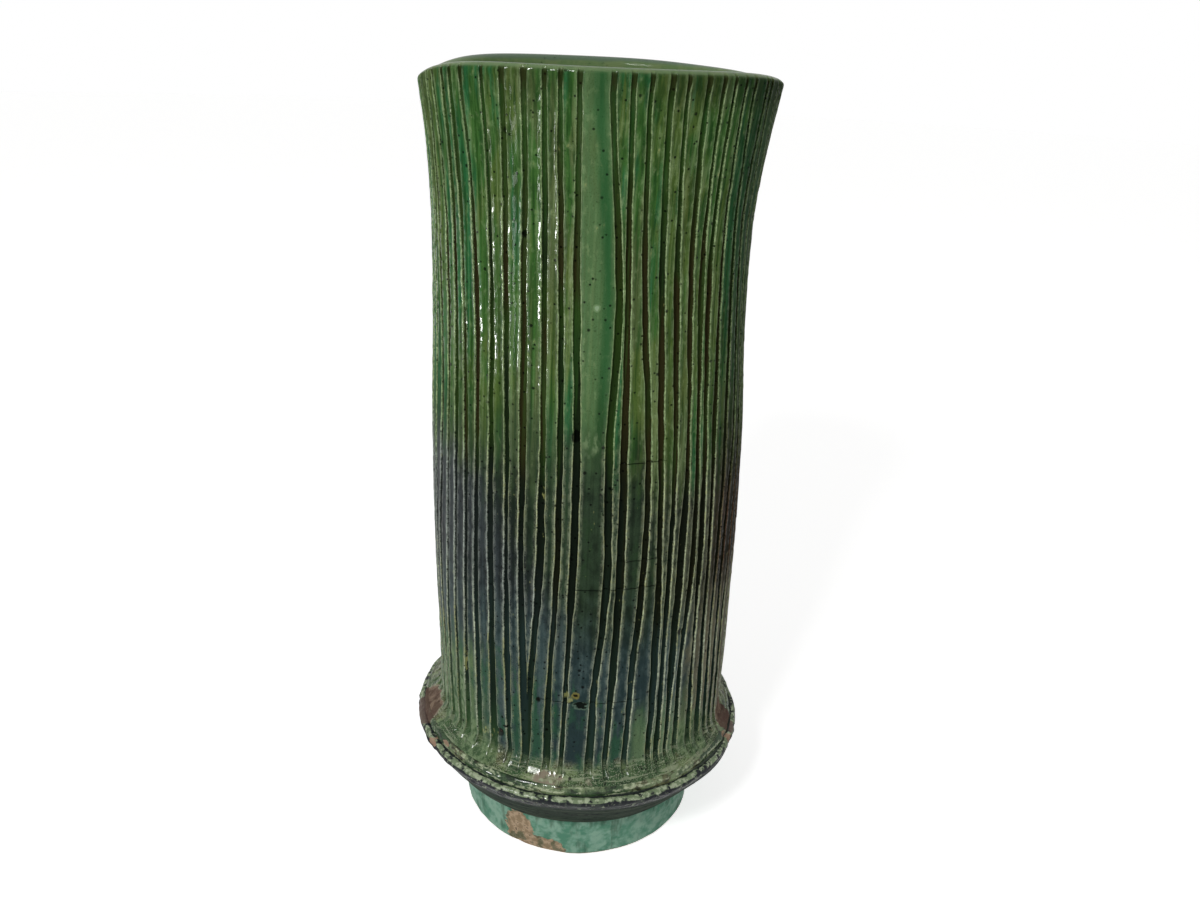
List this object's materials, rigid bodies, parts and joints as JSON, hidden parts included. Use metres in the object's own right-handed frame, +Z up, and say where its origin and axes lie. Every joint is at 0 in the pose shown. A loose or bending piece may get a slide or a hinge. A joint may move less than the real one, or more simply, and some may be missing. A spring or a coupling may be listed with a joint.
{
  "type": "pottery vase",
  "caption": "Tall cylindrical pottery vase with hand-cut upright grooves, a flaring mouth, a projecting collar near the base and a short foot ring.",
  "frame": {"origin": "centre of the foot ring's underside, on the surface that the vase stands on", "axes": "+Z up along the vase, -Y towards the front, where the wide smooth rib is, +X to the right seen from the front"},
  "size_m": [0.193, 0.193, 0.42],
  "materials": {
    "wall_glaze": "glossy lead-green glaze, pale on the ribs and dark in the cuts",
    "collar_glaze": "glossy but rough and pitted green-brown glaze",
    "base_glaze": "thin dark grey-green glaze, satin",
    "foot_glaze": "blue-green glaze, satin, with bare pinkish clay patches"
  },
  "bodies": {
    "root": {"foot_ring": "foot_glaze", "base_saucer": "base_glaze", "collar_coil": "collar_glaze", "wall_ring_1": "wall_glaze", "wall_ring_2": "wall_glaze", "wall_ring_3": "wall_glaze", "wall_ring_4": "wall_glaze", "wall_ring_5": "wall_glaze", "mouth_ring": "wall_glaze"}
  },
  "joints": []
}
